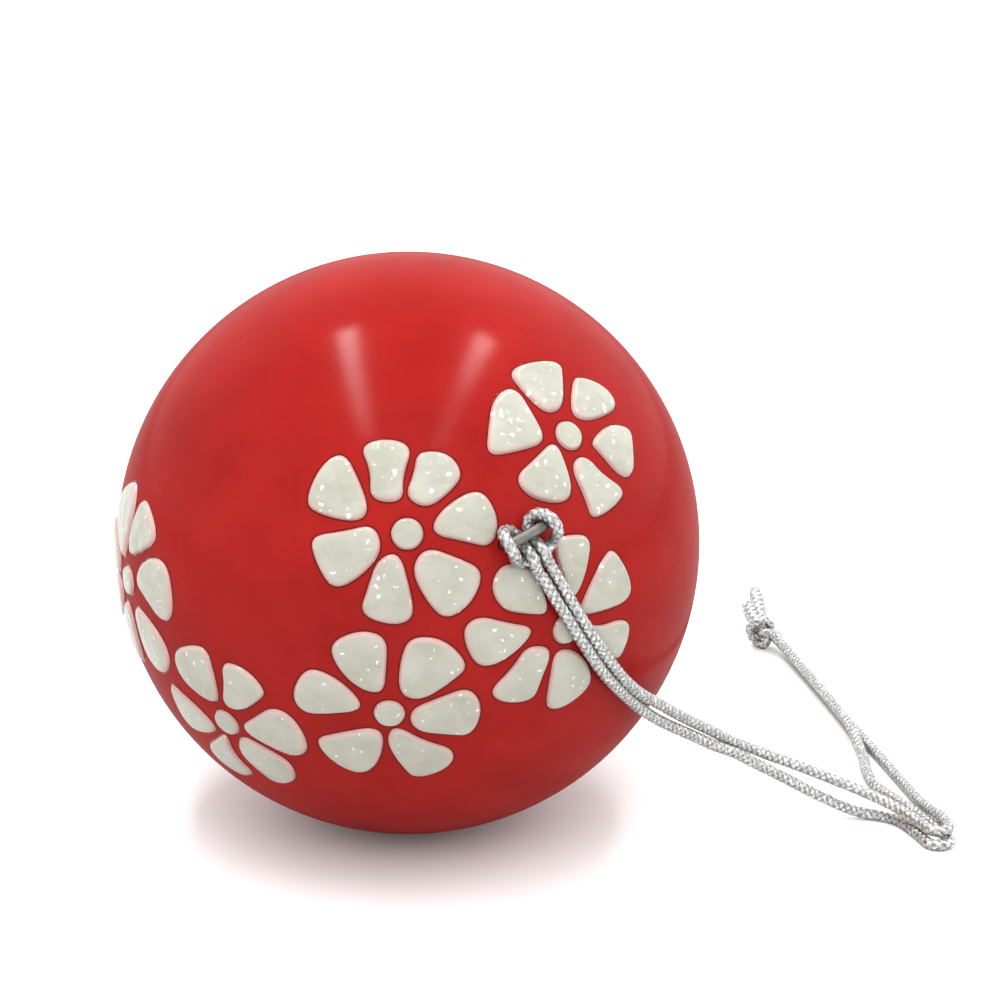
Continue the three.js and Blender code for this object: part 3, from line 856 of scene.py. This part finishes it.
def cordMaterial():
    v = silverValues
    made, nodes, links, shader = newMaterial("silver_braid")
    place = addNode(nodes, "ShaderNodeTexCoord")
    weave = addNode(nodes, "ShaderNodeAttribute", attribute_name="braid")
    # painted shade: the braid's grooves are painted darker than its crests
    tint = addTint(nodes, links, weave.outputs["Fac"], v["braidSpan"], v["groove"], v["crest"])
    # painted highlight: bright glints painted on the crests
    sparks = addNoise(nodes, links, place, Scale=v["sparkScale"], Detail=1)
    pick = addSpan(nodes, links, sparks.outputs["Fac"], v["sparkPick"], (0, 1), "SMOOTHSTEP")
    shine = addNode(nodes, "ShaderNodeMath", operation="MULTIPLY")
    links.new(pick.outputs["Result"], shine.inputs[0])
    links.new(weave.outputs["Fac"], shine.inputs[1])
    tint = addOver(nodes, links, shine.outputs["Value"], tint, v["cordGlintColour"])
    links.new(tint, shader.inputs["Base Color"])
    grain = addNoise(nodes, links, place, Scale=v["grainScale"], Detail=2)
    bump = addBump(nodes, links, grain.outputs["Fac"], v["grainStrength"], v["grainDepth"])
    links.new(bump.outputs["Normal"], shader.inputs["Normal"])
    setShader(shader, v["shader"])
    return made


lacquer, enamel, wire, cordSilver = lacquerMaterial(), enamelMaterial(), wireMaterial(), cordMaterial()


def finishPiece(piece, material, slot, *nodes):
    piece.data.materials.clear()
    piece.data.materials.append(material)
    if nodes:
        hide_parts(*nodes)
    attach(piece, "root")


finishPiece(ball, lacquer, "lacquer", "ball")
for flower in enamelFlowers:
    finishPiece(flower, enamel, "enamel")
finishPiece(eye, wire, "wire", "hanging_eye")
finishPiece(hitch, cordSilver, "cord", "cord_hitch")
finishPiece(knot, cordSilver, "cord", "cord_knot")
finishPiece(knotTails, cordSilver, "cord")
finishPiece(strands[0][0], cordSilver, "cord", "cord_strand_upper")
finishPiece(strands[1][0], cordSilver, "cord", "cord_strand_lower")
print("materials and frame set")


# floor, light and backdrop
stageValues = {
    "floorSize": 6,
    "floorColour": 0.92,
    "floorBounce": 0.62,  # what the floor throws back up at the ball
    "floorShader": {"Roughness": 0.9, "Specular IOR Level": 0.1},
    "zenith": 0.95,  # sky brightness overhead, at the camera's side and at the back
    "front": 1.12,
    "back": 1.55,
    "right": 1.25,  # times as bright on the right
    "zenithFrom": 0.5,  # how high in the sky the overhead brightness begins to count
    # two ceiling strips, running away from the camera: place, length, turn, share that stays faint
    "strips": [
        ("left_strip", -0.295, -0.1, 1.0, 1, 0),
        ("right_strip", 0.32, -0.16, 1.1, -10, 0.4),
    ],
    "stripHeight": 0.6,  # above the ball's middle, and the unit of the strips' places and sizes
    "stripWidth": 0.1,
    "stripPower": 3.4,
    "stripFoot": 0.14,  # brightness left at the near end
    # broad soft box above the camera
    "softPlace": (0, -0.69, 0.98),
    "softSize": 1,
    "softPower": 6.9,
}


def makeSky():
    v = stageValues
    world = bpy.data.worlds.new("studio")
    world.use_nodes = True
    scene.world = world
    nodes, links = world.node_tree.nodes, world.node_tree.links
    sky = nodes["Background"]
    place = addNode(nodes, "ShaderNodeTexCoord")
    parts = addNode(nodes, "ShaderNodeSeparateXYZ")
    links.new(place.outputs["Generated"], parts.inputs["Vector"])
    depth = addSpan(nodes, links, parts.outputs["Y"], (-1, 1), (v["front"], v["back"]))
    rise = addSpan(nodes, links, parts.outputs["Z"], (v["zenithFrom"], 1), (0, 1), "SMOOTHSTEP")
    across = addSpan(nodes, links, parts.outputs["X"], (0, 1), (1, v["right"]))
    blend = addNode(nodes, "ShaderNodeMix")
    blend.inputs["B"].default_value = v["zenith"]
    links.new(rise.outputs["Result"], blend.inputs["Factor"])
    links.new(depth.outputs["Result"], blend.inputs["A"])
    sided = addNode(nodes, "ShaderNodeMath", operation="MULTIPLY")
    links.new(blend.outputs["Result"], sided.inputs[0])
    links.new(across.outputs["Result"], sided.inputs[1])
    links.new(sided.outputs["Value"], sky.inputs["Strength"])
    sky.inputs["Color"].default_value = (1, 1, 1, 1)


# brightest at the far end, dying away towards the camera
def fadeStrip(lamp, start):
    lamp.use_nodes = True
    nodes, links = lamp.node_tree.nodes, lamp.node_tree.links
    place = addNode(nodes, "ShaderNodeNewGeometry")
    parts = addNode(nodes, "ShaderNodeSeparateXYZ")
    links.new(place.outputs["Parametric"], parts.inputs["Vector"])
    fade = addSpan(nodes, links, parts.outputs["Y"], (start, 1), (stageValues["stripFoot"], 1))
    links.new(fade.outputs["Result"], nodes["Emission"].inputs["Strength"])


def makeFloor():
    v = stageValues
    deselectAll()
    bpy.ops.mesh.primitive_plane_add(size=v["floorSize"], location=(0, 0, 0))
    floor = bpy.context.object
    floor.name = "floor"
    made, nodes, links, shader = newMaterial("pale_floor")
    rays = addNode(nodes, "ShaderNodeLightPath")
    shades = (v["floorBounce"], v["floorColour"])
    pale = addSpan(nodes, links, rays.outputs["Is Camera Ray"], (0, 1), shades)
    links.new(pale.outputs["Result"], shader.inputs["Base Color"])
    setShader(shader, v["floorShader"])
    floor.data.materials.append(made)


def addLamp(name, place, turn, power):
    bpy.ops.object.light_add(type="AREA", location=place, rotation=turn)
    light = bpy.context.object
    light.name = name
    light.data.energy = power
    return light


def makeLights():
    v = stageValues
    high = v["stripHeight"]
    for name, x, y, length, turn, start in v["strips"]:
        place = (x * high, y * high, high + ballValues["radius"])
        light = addLamp(name, place, (0, 0, math.radians(turn)), v["stripPower"])
        light.data.shape = "RECTANGLE"
        light.data.size = v["stripWidth"] * high
        light.data.size_y = length * high
        fadeStrip(light.data, start)
    place = Vector(v["softPlace"])
    turn = (ballCentre - place).to_track_quat("-Z", "Y").to_euler()
    light = addLamp("soft_box", place, turn, v["softPower"])
    light.visible_glossy = False  # its square would show in the lacquer
    light.data.size = v["softSize"]


makeSky()
makeFloor()
makeLights()
scene.view_settings.view_transform = "Standard"
scene.view_settings.look = "None"
print("stage set")
